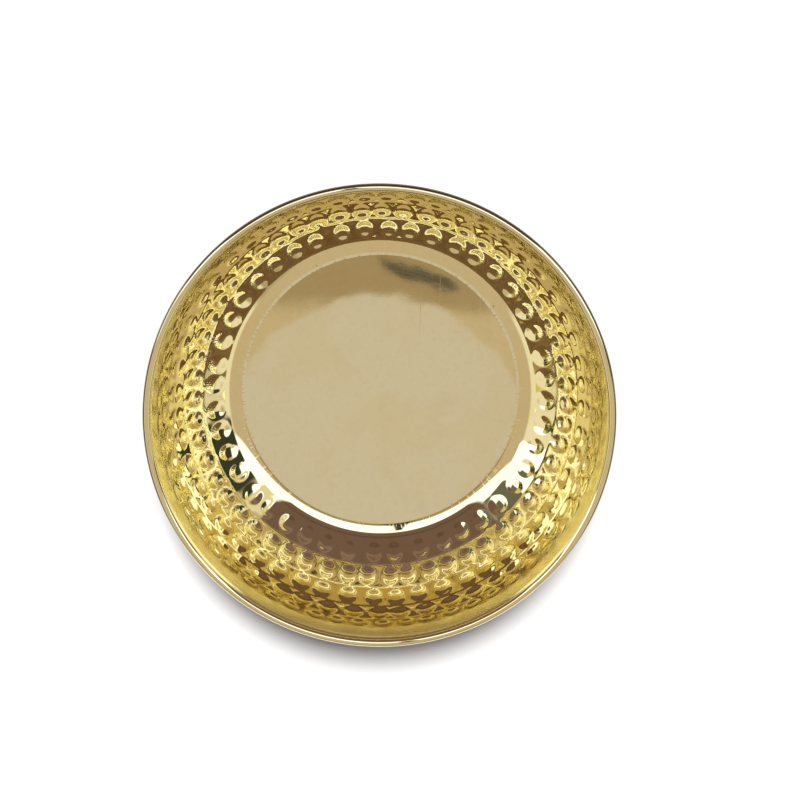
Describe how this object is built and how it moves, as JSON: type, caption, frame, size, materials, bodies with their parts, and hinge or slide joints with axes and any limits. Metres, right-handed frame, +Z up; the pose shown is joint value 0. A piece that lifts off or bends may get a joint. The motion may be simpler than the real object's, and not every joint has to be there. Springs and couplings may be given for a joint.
{
  "type": "urli bowl",
  "caption": "Round flat-floored hammered brass bowl with a tall wall and an outward-curled wired rim, for floating flowers and lights.",
  "frame": {"origin": "centre of the base, on the surface that the bowl stands on", "axes": "+Z up along the bowl's axis of revolution; X and Y lie in the table plane, and the bowl is the same all round"},
  "size_m": [0.204, 0.204, 0.0696],
  "materials": {
    "sheet_brass": "hammered and polished",
    "wire_brass": "drawn, dull"
  },
  "bodies": {
    "root": {"bowl_shell": "sheet_brass", "rim_wire": "wire_brass"}
  },
  "joints": []
}
